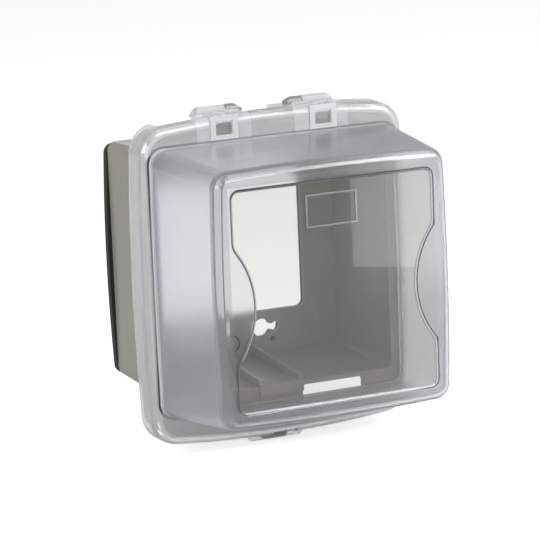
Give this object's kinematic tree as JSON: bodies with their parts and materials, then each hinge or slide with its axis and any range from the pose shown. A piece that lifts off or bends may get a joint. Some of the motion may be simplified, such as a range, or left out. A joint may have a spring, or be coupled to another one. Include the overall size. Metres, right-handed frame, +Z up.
{
  "type": "weatherproof in use outlet cover",
  "caption": "Deep weatherproof cover for a two-gang outlet: open-backed grey housing with foam gasket, cord exits and a clear hinged lid with a frosted dome.",
  "frame": {"origin": "on the wall, at the middle of the device opening", "axes": "+Z up, -Y out of the wall towards the user, +X to the user's right"},
  "size_m": [0.1352, 0.1213, 0.1591],
  "materials": {
    "housing_grey": "satin moulded grey",
    "gasket_foam": "closed-cell black foam",
    "lid_clear": "clear polycarbonate, frosted dome walls"
  },
  "bodies": {
    "housing": {"base_housing": "housing_grey", "wall_gasket": "gasket_foam", "hinge_pin_left": "lid_clear", "hinge_pin_right": "lid_clear"},
    "cover": {"lid": "lid_clear"}
  },
  "joints": [
    {"name": "lid_hinge", "type": "hinge", "parent": "housing", "child": "cover", "pos_m": [0, -0.0515, 0.0726], "axis": [-1, 0, 0], "range_deg": [0, 110]}
  ]
}
